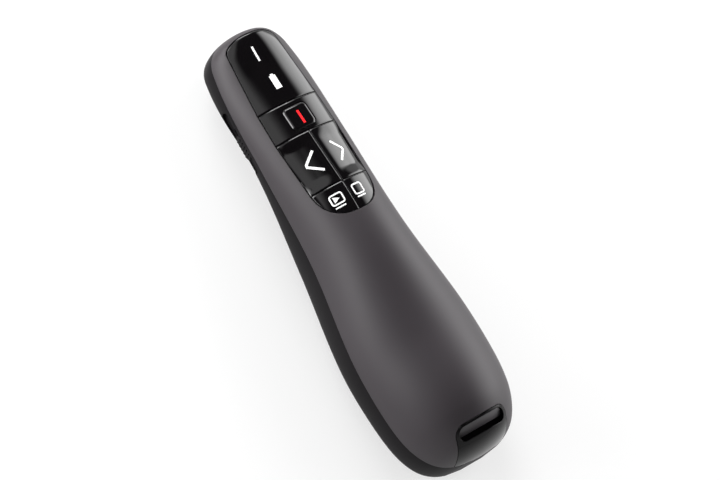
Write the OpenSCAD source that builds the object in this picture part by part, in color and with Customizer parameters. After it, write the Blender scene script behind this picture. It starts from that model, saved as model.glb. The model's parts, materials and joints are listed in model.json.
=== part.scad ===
// Wireless presentation clicker: a hand-held remote with a key panel and a
// laser pointer at the nose, two AAA cells in the palm and a USB receiver
// stored in the tail. +Y points out of the nose, +X to the right, +Z up,
// and the underside stands on z = 0.

/* [Body outline] */
// Length from tail to nose
body_l = 115.5; // [113:0.5:124]
// Width at the tail, before its corners are rounded
tail_w = 32.6; // [31:0.2:36]
// Width at the heel of the hand
heel_w = 33.4; // [32.4:0.2:37]
// Width at the palm, the widest place
palm_w = 34; // [33:0.2:38]
// Width at the waist
waist_w = 27; // [26.6:0.2:31]
// Width beside the keys
keys_w = 24.4; // [24:0.2:28]
// Width behind the nose
nose_w = 23.8; // [23.2:0.2:27]
// Width at the tip, before its corners are rounded
tip_w = 19.6; // [19:0.2:23]

/* [Body profile] */
// Height of the crown at the tail
tail_h = 19; // [18:0.2:21]
// Height of the crown over the heel of the hand
heel_h = 25.4; // [25:0.2:28]
// Height of the crown over the palm
palm_h = 24.5; // [24.2:0.2:28]
// Height of the crown over the waist
waist_h = 24; // [23.6:0.2:27]
// Height of the crown at the keys
keys_h = 20.5; // [20.2:0.1:23]
// Height of the crown behind the nose
nose_h = 18; // [17.9:0.1:20]
// Height of the crown at the tip
tip_h = 18; // [17.8:0.1:20]
// How deep the flat on the underside is cut into the round belly
flat_cut = 1; // [0.7:0.1:1.3]
// Lift of the belly under the keys
keys_lift = 5.2; // [4.4:0.1:5.5]
// Lift of the belly behind the nose
nose_lift = 4.4; // [3.6:0.1:4.7]
// Lift of the belly at the tip
tip_lift = 3.1; // [2.4:0.1:3.6]

/* [Body rounding] */
// Length over which the tail is rounded in plan
tail_round = 22.8; // [20:0.2:24]
// Length over which the nose is rounded in plan
nose_round = 7; // [6.4:0.2:8]
// Length over which the tail is rounded in profile
tail_edge = 5.2; // [4.6:0.1:5.8]
// Length over which the nose is rounded in profile
nose_edge = 3.3; // [2.8:0.1:3.6]

/* [Shells] */
// Wall of the case mouldings
wall = 1.5; // [1.3:0.1:1.6]
// Gap that shows as a seam between neighbouring pieces
seam = 0.2; // [0.15:0.05:0.3]
// Height of the parting line between the top and the bottom case
parting_z = 11.7; // [11.6:0.1:11.8]
// Height of the seam above the battery door
door_seam_z = 4.2; // [4:0.1:4.4]
// Slide of the battery door before it lifts off
door_travel = 8; // [6:0.5:8]

/* [Key panel] */
// Distance from the tip back to the panel
panel_setback = 2.5; // [2.4:0.1:3]
// Length of the status window
window_l = 19.1; // [18:0.1:19.6]
// Length of the band round the laser button
band_l = 8.4; // [8.2:0.1:8.8]
// Length of the previous and next buttons
page_l = 14.4; // [13.8:0.1:15]
// Length of the slideshow and blank screen buttons
slide_l = 7.8; // [7.4:0.1:8.2]
// Width of the panel at the front of the window
window_w = 13.6; // [13:0.1:13.8]
// Width of the panel at the band
band_w = 16; // [15.4:0.1:16.2]
// Width of the panel at the page buttons
page_w = 16.4; // [15.8:0.1:16.6]
// Width of the panel at the slideshow buttons
slide_w = 15.5; // [15:0.1:15.8]
// Thickness of the window and the band
panel_t = 1; // [0.9:0.05:1.1]
// Width of the ledge that the window and the band rest on
ledge = 0.9; // [0.8:0.05:1.1]
// Width of the laser button
laser_key_w = 6.4; // [6:0.1:6.6]
// Length of the laser button
laser_key_l = 6; // [5.6:0.1:6.1]
// How far the laser button stands above the band
laser_key_rise = 0.3; // [0.2:0.05:0.4]
// Depth of the thumb dish in each page button
dish = 0.45; // [0.3:0.05:0.5]
// Thickness of a button's skin over its hollow
key_skin = 1.2; // [1:0.1:1.3]
// Travel of every button
key_travel = 0.35; // [0.25:0.05:0.4]

/* [Laser] */
// Diameter of the laser barrel
barrel_d = 6; // [5.6:0.1:6.2]
// Length of the laser barrel
barrel_l = 13; // [12:0.5:14]
// Height of the laser axis
laser_z = 9.2; // [9:0.1:9.3]
// Diameter of the aperture in the nose
aperture_d = 3.4; // [3:0.1:3.8]

/* [Electronics] */
// Thickness of the circuit board
board_t = 0.8; // [0.6:0.1:0.9]
// Width of the circuit board
board_w = 15.4; // [15:0.1:15.6]
// Width of the circuit board beside the laser
board_tip_w = 11; // [10:0.2:11.4]
// Size of a key switch
switch_w = 3.4; // [3.2:0.1:3.6]
// Height of a key switch body
switch_h = 1.4; // [1.3:0.1:1.5]
// Diameter of a key switch plunger
plunger_d = 1.7; // [1.5:0.1:1.9]

/* [Power slider] */
// Height of the middle of the slider
slider_z = 9; // [8.8:0.1:9.2]
// Length of the recess that the slider runs in
recess_l = 16.6; // [16:0.2:17.2]
// Height of the recess
recess_h = 3.4; // [3.2:0.1:3.6]
// Length of the slider's knob
knob_l = 6.4; // [6:0.2:6.8]
// Travel of the slider
slider_travel = 2.5; // [2:0.1:2.8]

/* [Batteries] */
// Diameter of an AAA cell
cell_d = 10.5; // [10.2:0.1:10.5]
// Length of an AAA cell with its button
cell_l = 44.5; // [44:0.1:44.6]
// Length of a contact spring as fitted
spring_l = 2.2; // [2:0.1:2.6]

/* [Receiver] */
// Width of the receiver and its end cap
receiver_w = 14; // [13.8:0.1:14.6]
// Thickness of the receiver housing
receiver_t = 5.8; // [5.6:0.1:6]
// Length of the receiver housing between its cap and its plug
receiver_l = 36; // [34:0.5:36.5]
// Length of the plug that stands out of the housing
plug_l = 12; // [11.5:0.1:12.5]
// Length of the finger slot in the cap
slot_l = 12.6; // [11.6:0.1:12.8]
// Width of the finger slot
slot_w = 3.2; // [3:0.1:3.4]
// Depth of the finger slot
slot_depth = 4; // [3.5:0.1:4.4]
// Distance the receiver slides to come out
receiver_travel = 60; // [55:1:70]

/* [Hidden] */

$fn = 48;
eps = 0.01;
fine = 32;

soft_black = "#3a393b";
gloss_black = "#111113";
board_green = "#1d5a35";
chip_black = "#1b1b1d";
steel = "#b9bcc0";
brass = "#c7a24b";
plastic_grey = "#4a4a4d";
white_plastic = "#e9e9e6";

// The outline follows seven stations, given as shares of the length
station = [-0.5, -0.39, -0.22, 0, 0.22, 0.39, 0.5];
half_widths = [tail_w, heel_w, palm_w, waist_w, keys_w, nose_w, tip_w] / 2;
crowns = [tail_h, heel_h, palm_h, waist_h, keys_h, nose_h, tip_h];
waist_cut = 0.6 * flat_cut;
bellies = [0, -flat_cut, -flat_cut, -waist_cut, keys_lift, nose_lift, tip_lift];
// Height of the widest line, as a share of the section's height
waterline = 0.28;
// Powers of the superellipses of the plan corners and of the sections
tail_power = 3;
nose_power = 2.4;
edge_power = 2.2;
crown_powers = [1.92, 2.19];
belly_powers = [2.3, 3];

tail_y = -body_l / 2;
nose_y = body_l / 2;

function mix(ends, share) = ends[0] + (ends[1] - ends[0]) * share;
function station_y(i) = station[i] * body_l;
function segment(y, i = 0) =
    i >= len(station) - 2 || y <= station_y(i + 1) ? i : segment(y, i + 1);
function slope(v, i) =
    let (a = max(i - 1, 0), b = min(i + 1, len(station) - 1))
    (v[b] - v[a]) / (station_y(b) - station_y(a));
// Smooth curve through the stations' values
function along(v, y) =
    let (i = segment(y), h = station_y(i + 1) - station_y(i), t = (y - station_y(i)) / h)
    (2 * t^3 - 3 * t^2 + 1) * v[i] + (t^3 - 2 * t^2 + t) * h * slope(v, i)
    + (3 * t^2 - 2 * t^3) * v[i + 1] + (t^3 - t^2) * h * slope(v, i + 1);
// Share of the full size that is left at a distance from a rounded end
function round_end(d, r, p) =
    d <= 0 ? 0 : d >= r ? 1 : pow(1 - pow(1 - d / r, p), 1 / p);

// Section of the body: half width, waterline, crown, belly and the two powers
function section(y) =
    let (a = along(half_widths, y) * round_end(y - tail_y, tail_round, tail_power)
            * round_end(nose_y - y, nose_round, nose_power),
        crown = along(crowns, y), belly = along(bellies, y),
        water = belly + (crown - belly) * waterline,
        k = round_end(y - tail_y, tail_edge, edge_power)
            * round_end(nose_y - y, nose_edge, edge_power),
        share = y / body_l + 0.5)
    [a, water, water + (crown - water) * k, water + (belly - water) * k,
        mix(crown_powers, share), mix(belly_powers, share)];
// The same section drawn in by an inset, as the inside of a wall is
function inset_section(y, inset) =
    let (s = section(y * body_l / (body_l - 2 * inset)))
    [max(s[0] - inset, 0.4), s[1], max(s[2] - inset, s[1] + 0.3),
        min(s[3] + inset, s[1] - 0.3), s[4], s[5]];
function crown_z(x, y, inset = 0) =
    let (s = inset_section(y, inset))
    s[1] + (s[2] - s[1]) * pow(max(0, 1 - pow(min(1, abs(x) / s[0]), s[4])), 1 / s[4]);
// Half width of the inside of a wall at a height
function side_at(y, z, inset) =
    let (s = inset_section(y, inset), up = z > s[1], p = up ? s[4] : s[5],
        h = up ? (z - s[1]) / (s[2] - s[1]) : (s[1] - z) / (s[1] - s[3]))
    s[0] * pow(1 - pow(min(1, h), p), 1 / p);
function section_point(s, y, angle, inset) =
    let (c = cos(angle), n = sin(angle), p = n >= 0 ? s[4] : s[5],
        rise = n >= 0 ? s[2] - s[1] : s[1] - s[3])
    [s[0] * sign(c) * pow(abs(c), 2 / p), y,
        max(inset, s[1] + rise * sign(n) * pow(abs(n), 2 / p))];
function ring(y, inset, around) =
    let (s = inset_section(y, inset))
    [for (k = [0:around - 1]) section_point(s, y, 360 * k / around, inset)];

// Solid through rings of equal count, set one behind the other along +Y
module loft(rings) {
    n = len(rings[0]);
    last = len(rings) - 1;
    sides = [for (i = [0:last - 1], k = [0:n - 1])
        let (a = i * n + k, b = i * n + (k + 1) % n)
        each [[a, b + n, a + n], [a, b, b + n]]];
    tail = [for (k = [n - 1:-1:0]) k];
    nose = [for (k = [0:n - 1]) last * n + k];
    polyhedron([for (r = rings) each r], concat([tail], sides, [nose]));
}

// Stations of the lofts: close together where the ends are rounded
function quarter(n, first) = [for (k = [0:n]) 1 - cos(first + (90 - first) * k / n)];
function body_stations(tails, middles, noses) =
    let (from = tail_y + tail_round, to = nose_y - nose_round)
    concat([for (q = quarter(tails, 4)) tail_y + tail_round * q],
        [for (k = [1:middles]) from + (to - from) * k / (middles + 1)],
        [for (k = [noses:-1:0]) nose_y - nose_round * quarter(noses, 5)[k]]);

module body_solid() loft([for (y = body_stations(9, 15, 7)) ring(y, 0, 48)]);
module body_space(inset = wall) {
    reach = 0.985 * (body_l - 2 * inset) / body_l;
    loft([for (y = body_stations(5, 11, 4)) ring(y * reach, inset, 32)]);
}

// Solid between a grid of top points and the grid of points below it
function flat_grid(top, z) = [for (r = top) [for (p = r) [p[0], p[1], z]]];
module slab(top, low) {
    rows = len(top);
    cols = len(top[0]);
    base = rows * cols;
    rim = concat([for (j = [0:cols - 2]) j], [for (i = [0:rows - 2]) i * cols + cols - 1],
        [for (j = [cols - 1:-1:1]) base - cols + j], [for (i = [rows - 1:-1:1]) i * cols]);
    skins = [for (i = [0:rows - 2], j = [0:cols - 2])
        let (a = i * cols + j, b = a + 1, c = a + cols, d = c + 1)
        each [[a, d, b], [a, c, d], [base + a, base + b, base + d], [base + a, base + d, base + c]]];
    sides = [for (k = [0:len(rim) - 1])
        let (a = rim[k], b = rim[(k + 1) % len(rim)])
        each [[a, b, base + b], [a, base + b, base + a]]];
    polyhedron(concat([for (r = top) each r], [for (r = low) each r]), concat(skins, sides));
}

// ---- Key panel ----
panel_front = nose_y - panel_setback;
window_rear = panel_front - window_l;
band_rear = window_rear - band_l;
page_rear = band_rear - page_l;
panel_rear = page_rear - slide_l;
// Rounding of the panel's two ends in plan: length and power
panel_nose_round = 3.4;
panel_tail_round = 8.6;
panel_power = 2.5;
panel_stops = [page_rear, band_rear, window_rear, panel_front - panel_nose_round];
panel_widths = [slide_w, page_w, band_w, window_w] / 2;
function panel_base(y) = y <= panel_stops[0] ? panel_widths[0] - (panel_stops[0] - y) * 0.03
    : lookup(y, [for (i = [0:3]) [panel_stops[i], panel_widths[i]]]);
function panel_half(y, grow = 0) =
    (panel_base(y) + grow) * round_end(y - panel_rear + grow, panel_tail_round, panel_power)
    * round_end(panel_front + grow - y, panel_nose_round, panel_power);
function panel_rows(from, to, rear_round, front_round) = concat(
    rear_round ? [for (d = [0.02, 0.12, 0.35, 0.8, 1.5, 2.5, 4, 6]) from + d]
        : [for (d = [0, 0.15, 0.4]) from + d],
    [for (k = [1:(rear_round ? 1 : 6)])
        mix([rear_round ? from + 6 : from + 0.4, front_round ? to - 3.4 : to - 0.4],
            k / (rear_round ? 2 : 7))],
    front_round ? [for (d = [3.4, 2.4, 1.5, 0.8, 0.35, 0.12, 0.02]) to - d]
        : [for (d = [0.4, 0.15, 0]) to - d]);
// Outline of the whole panel in plan
module panel_outline(grow = 0) {
    from = panel_rear - grow;
    to = panel_front + grow;
    ys = concat([for (d = [0.02, 0.12, 0.35, 0.8, 1.5, 2.5, 4, 6]) from + d],
        panel_stops, [for (d = [2.4, 1.5, 0.8, 0.35, 0.12, 0.02]) to - d]);
    polygon(concat([for (y = ys) [panel_half(y, grow), y]],
        [for (k = [len(ys) - 1:-1:0]) [-panel_half(ys[k], grow), ys[k]]]));
}

// Edge of every panel piece rolls over by this much, over this width
edge_drop = 0.12;
edge_run = 0.3;
function roll(d) = edge_drop * pow(max(0, 1 - d / edge_run), 2);
across = concat([0, 0.02, 0.05], [for (k = [1:6]) 0.05 + 0.9 * k / 7], [0.95, 0.98, 1]);
page_x = page_w / 4 + 0.1;
page_y = band_rear - page_l / 2;
function dish_z(x, y) =
    dish * pow(max(0, 1 - pow((abs(x) - page_x) / 3.9, 2) - pow((y - page_y) / 6.6, 2)), 2);
// Grid over a stretch of the panel from one side line to the other
function panel_grid(ys, left, right, inset = 0, rolled = true, dished = false) =
    [for (y = ys) let (x0 = left(y), w = right(y) - x0)
        [for (u = across) let (x = x0 + w * u,
            d = min(w * u, w * (1 - u), y - ys[0], ys[len(ys) - 1] - y))
            [x, y, crown_z(x, y, inset) - (rolled ? roll(d) : 0)
                - (dished ? dish_z(x, y) : 0)]]];

left_line = function (y) -panel_half(y);
right_line = function (y) panel_half(y);
left_of_seam = function (y) -seam / 2;
right_of_seam = function (y) seam / 2;

// ---- Heights inside ----
board_z = laser_z + barrel_d / 2 + 0.4;
board_top = board_z + board_t;
key_low_z = board_top + key_travel + 0.25;
switch_bore_d = plunger_d + 0.2;
plunger_top_z = board_top + switch_h + 0.6;
plunger_low_z = board_top + switch_h - 0.6;
cell_r = cell_d / 2;
cell_x = cell_r + 0.25;
cell_z = wall + 0.25 + cell_r;
cradle_t = 0.65;
cradle_z = cell_z + cell_r + 0.1;
receiver_low_z = cradle_z + cradle_t + 0.15;
receiver_z = receiver_low_z + receiver_t / 2;

band_y = (window_rear + band_rear) / 2 - 0.2;
slide_x = 3.7;
slide_y = page_rear - slide_l / 2 + 0.35;
key_centres = [[0, band_y], [-page_x, page_y], [page_x, page_y],
    [-slide_x, slide_y], [slide_x, slide_y]];

// ---- Cases ----
module rounded_square(w, l, r) polygon([for (q = [0:3], k = [0:6])
    let (a = 90 * q + 15 * k, c = 90 * q + 45)
    [sign(cos(c)) * (w / 2 - r) + r * cos(a), sign(sin(c)) * (l / 2 - r) + r * sin(a)]]);

// The receiver's bay in the tail: a stadium end that runs out behind
cap_front = tail_y + 8.7;
cap_corner = 2.1;
module cap_outline(grow = 0) {
    w = receiver_w / 2 + grow;
    r = cap_corner + grow;
    hull() {
        for (x = [-1, 1])
            translate([x * (w - r), cap_front + grow - r]) circle(r, $fn = fine);
        translate([-w, tail_y - 5]) square([2 * w, 1]);
    }
}

slider_y = nose_y - 23.9;
slider_stem_h = 1.2;
slider_slot_l = 5;
recess_depth = 0.9;
function side_x(y, inset = 0) = inset_section(y, inset)[0];
slider_x = -side_x(slider_y);
module slider_recess() {
    translate([slider_x + recess_depth, slider_y, slider_z]) rotate([90, 0, -90])
        linear_extrude(6) rounded_square(recess_l, recess_h, recess_h / 2 - eps);
    track_l = slider_slot_l + slider_travel + 0.6;
    translate([slider_x - 1, slider_y - track_l / 2, slider_z - slider_stem_h / 2 - 0.15])
        cube([4, track_l, slider_stem_h + 0.3]);
}

bezel_d = aperture_d + 2;
module nose_hole() {
    translate([0, nose_y - 4, laser_z]) rotate([-90, 0, 0]) cylinder(d = aperture_d, h = 6);
    translate([0, nose_y - 1, laser_z]) rotate([-90, 0, 0])
        cylinder(d = bezel_d + 0.1, h = 2);
}

// The cells' bay: end walls, contacts and cells from the tail to the waist
cradle_wall = 1.2;
contact_t = 0.3;
cradle_rear = tail_y + 7.15;
cells_rear = cradle_rear + cradle_wall + contact_t;
cells_front = cells_rear + spring_l + cell_l;
cradle_front = cells_front + contact_t + cradle_wall;

screw_x = 9.2;
boss_d = 5.2;
screw_y = cradle_front + boss_d / 2 + 1.1;
screw_head_d = 3.8;
screw_seat_z = 4;
screw_d = 2;
screw_bite = 4.3;
board_screw_d = 1.8;
board_screw_x = 5.2;
board_screw_y = nose_y - 15.6;
board_pin_x = 5.2;
board_pin_y = page_rear + 1.3;
barrel_front = nose_y - 2.6;
barrel_rear = barrel_front - barrel_l;
saddle_ys = [barrel_rear + 2.5, barrel_front - 2.5];

module top_bosses() for (x = [-screw_x, screw_x])
    hull() {
        translate([x, screw_y, parting_z]) cylinder(d = boss_d, h = 2, $fn = fine);
        translate([x, screw_y, parting_z + 2]) cylinder(d = boss_d + 1, h = 8, $fn = fine);
    }
// Ribs that hang from the crown and hold the receiver down
hold_down_ys = [for (k = [0:3]) tail_y + 14 + k * 9.5];
module hold_down_ribs() for (x = [-4, 4], y = hold_down_ys)
    hull() for (s = [-1, 1])
        translate([x, y + s * 2, receiver_low_z + receiver_t + 0.1])
            cylinder(d = 1, h = 8, $fn = 12);

module above(z) translate([-50, -100, z]) cube([100, 200, 50]);
module below(z) translate([-50, -100, z - 50]) cube([100, 200, 50]);

module top_case() color(soft_black) difference() {
    intersection() {
        body_solid();
        above(parting_z);
        union() {
            difference() {
                above(parting_z - 1);
                body_space();
            }
            top_bosses();
            hold_down_ribs();
        }
    }
    // the ledge under the window and the band, and the hole for the keys
    difference() {
        translate([0, 0, parting_z + 0.5]) linear_extrude(30) panel_outline(seam);
        body_space(panel_t + 0.1);
    }
    translate([0, 0, parting_z + 0.5]) linear_extrude(30) intersection() {
        panel_outline(seam);
        translate([-20, panel_rear - 1]) square([40, band_rear - panel_rear + 1]);
    }
    translate([0, 0, parting_z + 0.5]) linear_extrude(30) panel_outline(seam - ledge);
    translate([0, 0, parting_z - eps]) linear_extrude(40) cap_outline(0.15);
    nose_hole();
    for (x = [-screw_x, screw_x])
        translate([x, screw_y, parting_z - eps]) cylinder(d = screw_d + 0.1, h = screw_bite + 1);
}

band_rail_z = door_seam_z + 0.75;
// Boss that narrows from its foot to its top
module boss(x, y, foot_d, top_d, top_z) hull() {
    translate([x, y, 0]) cylinder(d = foot_d, h = 6, $fn = fine);
    translate([x, y, 0]) cylinder(d = top_d, h = top_z, $fn = fine);
}
module bottom_bosses() for (s = [-1, 1]) {
    boss(s * screw_x, screw_y, boss_d + 0.8, boss_d, parting_z);
    boss(s * board_screw_x, board_screw_y, 4, 3.6, board_z);
    boss(s * board_pin_x, board_pin_y, 4, 3.4, board_z);
    boss(s * board_pin_x, board_pin_y, 1.2, 1.2, board_top + 0.1);
}
// Saddles that carry the laser barrel
module saddles() for (y = saddle_ys) hull() {
    translate([-4, y - 0.6, 0]) cube([8, 1.2, laser_z - barrel_d / 2]);
    translate([-barrel_d / 2 - 0.8, y - 0.6, 0]) cube([barrel_d + 1.6, 1.2, laser_z - 1]);
}
// Rails on the band behind the door's hooks
module door_rails() for (s = [-1, 1])
    hull() for (y = [tail_y + 11, -6])
        translate([s * 14.6, y, band_rail_z - 0.3])
            cube([6, 1, 0.6], center = true);

door_y = cradle_front - 0.6;
module bottom_case() color(soft_black) difference() {
    intersection() {
        body_solid();
        union() {
            difference() {
                below(parting_z);
                body_space();
            }
            bottom_bosses();
            saddles();
            door_rails();
        }
    }
    translate([-50, tail_y - 1, -1])
        cube([100, door_y + seam - tail_y + 1, door_seam_z + 0.15 + 1]);
    slider_recess();
    nose_hole();
    for (x = [-screw_x, screw_x]) translate([x, screw_y, -1]) {
        cylinder(d = 2.3, h = parting_z + 2);
        cylinder(d = screw_head_d + 0.4, h = screw_seat_z + 1);
    }
    for (x = [-board_screw_x, board_screw_x])
        translate([x, board_screw_y, board_z - 5]) cylinder(d = board_screw_d + 0.1, h = 6);
    translate([0, barrel_rear - 1, laser_z]) rotate([-90, 0, 0])
        cylinder(d = barrel_d + 0.1, h = barrel_l + 1);
}

// ---- Battery door ----
hook_l = 4;
hook_x = cell_x + cell_r + 0.05;
hook_ys = [tail_y + 17.75, door_y - 14.5];
hook_z = band_rail_z + 0.2;
grip_y = door_y - 9;
module door_hooks() for (s = [-1, 1], y = hook_ys) {
    hull() for (e = [-1, 1])
        translate([s * (hook_x + 0.25), y + e * (hook_l / 2 - 0.25), 1.2])
            cylinder(d = 0.5, h = hook_z + 0.6 - 1.2, $fn = 12);
    hull() for (x = [0.25, 1.2], e = [-1, 1])
        translate([s * (hook_x + x), y + e * (hook_l / 2 - 0.25), hook_z])
            cylinder(d = 0.5, h = 0.6, $fn = 12);
}
// Thumb grip: a shallow dish with ribs across it
module grip_ribs() for (k = [-2:2]) hull() for (s = [-1, 1])
    translate([s * (5.6 - abs(k) * 0.8), grip_y + k * 1.7, 0.15])
        cylinder(d = 0.7, h = 1, $fn = 16);

// Tongue that reaches over the floor of the bottom case
module door_tongue() {
    hull() for (x = [-2.2, 2.2], y = [door_y - 2.5, door_y + 2.5])
        translate([x, y, wall + 0.15]) cylinder(d = 1, h = 0.7, $fn = 16);
    translate([-2.7, door_y - 3, 1]) cube([5.4, 2.7, wall + 0.85 - 1]);
}

module battery_door() color(soft_black) union() {
    difference() {
        intersection() {
            body_solid();
            translate([-50, tail_y - 1, -1]) cube([100, door_y - tail_y + 1, door_seam_z + 1]);
        }
        body_space();
        translate([0, grip_y, -5.4]) scale([1.35, 1, 1]) sphere(6.2, $fn = 40);
    }
    grip_ribs();
    door_hooks();
    door_tongue();
}

// ---- Window, band and buttons ----
window_ys = panel_rows(window_rear + seam / 2, panel_front, false, true);
band_ys = panel_rows(band_rear + seam / 2, window_rear - seam / 2, false, false);
page_ys = panel_rows(page_rear + seam / 2, band_rear - seam / 2, false, false);
slide_ys = panel_rows(panel_rear, page_rear - seam / 2, true, false);
key_flange_t = 0.7;
key_corner = 1.1;
key_gap = 0.2;

module status_window() color(gloss_black)
    slab(panel_grid(window_ys, left_line, right_line),
        panel_grid(window_ys, left_line, right_line, panel_t, false));

module key_surround() color(gloss_black) {
    hole_w = laser_key_w + 2 * key_gap;
    hole_l = laser_key_l + 2 * key_gap;
    collar_z = key_low_z + key_flange_t + 0.1;
    difference() {
        union() {
            slab(panel_grid(band_ys, left_line, right_line),
                panel_grid(band_ys, left_line, right_line, panel_t, false));
            translate([0, band_y, collar_z])
                linear_extrude(crown_z(hole_w / 2 + 0.7, window_rear, 0.4) - collar_z)
                    rounded_square(hole_w + 1.2, hole_l + 1.2, key_corner + 0.6);
        }
        translate([0, band_y, collar_z - 1]) linear_extrude(12)
            rounded_square(hole_w, hole_l, key_corner + key_gap);
    }
}

// Skin over a hollow, with a post that reaches the switch plunger
module key(grid, hollow, ceiling_z, centre) {
    difference() {
        slab(grid, flat_grid(grid, key_low_z));
        translate([hollow[0], hollow[2], key_low_z - 1])
            cube([hollow[1] - hollow[0], hollow[3] - hollow[2], ceiling_z - key_low_z + 1]);
    }
    translate([centre[0], centre[1], plunger_top_z])
        cylinder(d = 2.6, h = ceiling_z - plunger_top_z + eps);
}
rim_t = 1.1;
module page_key(side) {
    hollow_x = page_w / 2 - 1.6;
    x = side < 0 ? [-hollow_x, -seam / 2 - rim_t] : [seam / 2 + rim_t, hollow_x];
    y = [page_rear + seam / 2 + rim_t, band_rear - seam / 2 - rim_t];
    ceiling = crown_z(hollow_x, band_rear) - key_skin;
    key(panel_grid(page_ys, side < 0 ? left_line : right_of_seam,
            side < 0 ? left_of_seam : right_line, 0, true, true),
        concat(x, y), ceiling, [side * page_x, page_y]);
    // tab that holds the key under the edge of the case
    tab_y = page_rear + 3;
    translate([side * (panel_half(tab_y) - 0.1) - 0.7, tab_y - 1.5, key_low_z])
        cube([1.4, 3, key_flange_t]);
}
module slide_key(side) {
    hollow_x = slide_w / 2 - 2.2;
    x = side < 0 ? [-hollow_x, -seam / 2 - rim_t] : [seam / 2 + rim_t, hollow_x];
    y = [panel_rear + 2.2, page_rear - seam / 2 - rim_t];
    ceiling = crown_z(hollow_x, page_rear) - key_skin;
    key(panel_grid(slide_ys, side < 0 ? left_line : right_of_seam,
            side < 0 ? left_of_seam : right_line),
        concat(x, y), ceiling, [side * slide_x, slide_y]);
    tab_y = page_rear - 2;
    translate([side * (panel_half(tab_y) - 0.1) - 0.7, tab_y - 1, key_low_z])
        cube([1.4, 2, key_flange_t]);
}

module previous_button() color(gloss_black) page_key(-1);
module next_button() color(gloss_black) page_key(1);
module slideshow_button() color(gloss_black) slide_key(-1);
module blank_screen_button() color(gloss_black) slide_key(1);

module laser_button() color(gloss_black) {
    l = laser_key_l;
    w = laser_key_w;
    ceiling = crown_z(w / 2 - 1, band_y + l / 2) - key_skin + laser_key_rise;
    rows = [for (d = [0, 0.15, 0.4, 1.5, 3, l - 1.5, l - 0.4, l - 0.15, l]) band_y - l / 2 + d];
    flush = panel_grid(rows, function (y) -w / 2, function (y) w / 2);
    grid = [for (r = flush) [for (p = r) p + [0, 0, laser_key_rise]]];
    difference() {
        intersection() {
            slab(grid, flat_grid(grid, key_low_z));
            translate([0, band_y, 0]) linear_extrude(40) rounded_square(w, l, key_corner);
        }
        translate([-w / 2 + 1, band_y - l / 2 + 1, key_low_z - 1])
            cube([w - 2, l - 2, ceiling - key_low_z + 1]);
    }
    difference() {
        translate([0, band_y, key_low_z]) linear_extrude(key_flange_t)
            rounded_square(w + 1.4, l + 1.2, key_corner + 0.6);
        translate([-w / 2 + 1, band_y - l / 2 + 1, key_low_z - 1]) cube([w - 2, l - 2, 2]);
    }
    translate([0, band_y, plunger_top_z]) cylinder(d = 2.6, h = ceiling - plunger_top_z + eps);
}

module plunger(i) color(steel)
    translate([key_centres[i][0], key_centres[i][1], plunger_low_z])
        cylinder(d = plunger_d, h = plunger_top_z - plunger_low_z);
module laser_plunger() plunger(0);
module previous_plunger() plunger(1);
module next_plunger() plunger(2);
module slideshow_plunger() plunger(3);
module blank_screen_plunger() plunger(4);

module key_switches() color(chip_black) for (c = key_centres)
    translate([c[0], c[1], board_top]) difference() {
        translate([-switch_w / 2, -switch_w / 2, 0]) cube([switch_w, switch_w, switch_h]);
        translate([0, 0, switch_h - 0.6 - key_travel - 0.1]) cylinder(d = switch_bore_d, h = 3);
    }

// ---- Board ----
board_rear = panel_rear + 0.6;
board_front = nose_y - 4.6;
board_step_y = nose_y - 12.5;
module circuit_board() color(board_green) translate([0, 0, board_z])
    linear_extrude(board_t) difference() {
        polygon([for (s = [1, -1]) each s > 0
            ? [[board_w / 2, board_rear], [board_w / 2, board_step_y],
                [board_tip_w / 2, board_step_y + 2], [board_tip_w / 2, board_front]]
            : [[-board_tip_w / 2, board_front], [-board_tip_w / 2, board_step_y + 2],
                [-board_w / 2, board_step_y], [-board_w / 2, board_rear]]]);
        for (s = [-1, 1]) {
            translate([s * board_screw_x, board_screw_y]) circle(d = board_screw_d + 0.2);
            translate([s * board_pin_x, board_pin_y]) circle(d = 1.4);
        }
    }
module chip(x, y, w, l, t) translate([x - w / 2, y - l / 2, board_z - t]) cube([w, l, t]);
module controller_chip() color(chip_black) chip(0, page_y + 1, 7, 7, 1);
module radio_chip() color(chip_black) chip(0, slide_y + 1.5, 4, 4, 0.8);
module crystal() color(steel) chip(5.4, page_y - 1, 2.5, 3.2, 0.7);

// Places of the two lit marks in the window
power_mark_y = nose_y - 7.8;
battery_mark_y = nose_y - 15.8;
led_h = 0.6;
module led(y) color(white_plastic) translate([-0.8, y - 0.4, board_top]) cube([1.6, 0.8, led_h]);
module power_led() led(power_mark_y);
module battery_led() led(battery_mark_y);
module light_guides() color("#d9dde0") for (g = [[power_mark_y, 1.4, 4.4], [battery_mark_y, 2.6, 4.8]])
    translate([-g[1] / 2, g[0] - g[2] / 2, board_top + led_h + 0.1])
        cube([g[1], g[2], crown_z(1.3, g[0] + g[2] / 2, panel_t + 0.1) - board_top - led_h - 0.15]);

module cross_head(d, h, up) difference() {
    cylinder(d = d, h = h);
    for (a = [0, 90]) rotate(a) translate([-d * 0.3, -0.2, up ? h - 0.6 : -0.1])
        cube([d * 0.6, 0.4, 0.7]);
}
module board_screws() color(steel) for (s = [-1, 1])
    translate([s * board_screw_x, board_screw_y, board_top]) {
        cross_head(3.2, 1, true);
        translate([0, 0, -4]) cylinder(d = board_screw_d, h = 4 + eps);
    }
module case_screws() color(steel) for (s = [-1, 1])
    translate([s * screw_x, screw_y, screw_seat_z - 1.3]) {
        cross_head(screw_head_d, 1.3, false);
        translate([0, 0, 1.3 - eps]) cylinder(d = screw_d, h = parting_z - screw_seat_z + screw_bite);
    }

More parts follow.
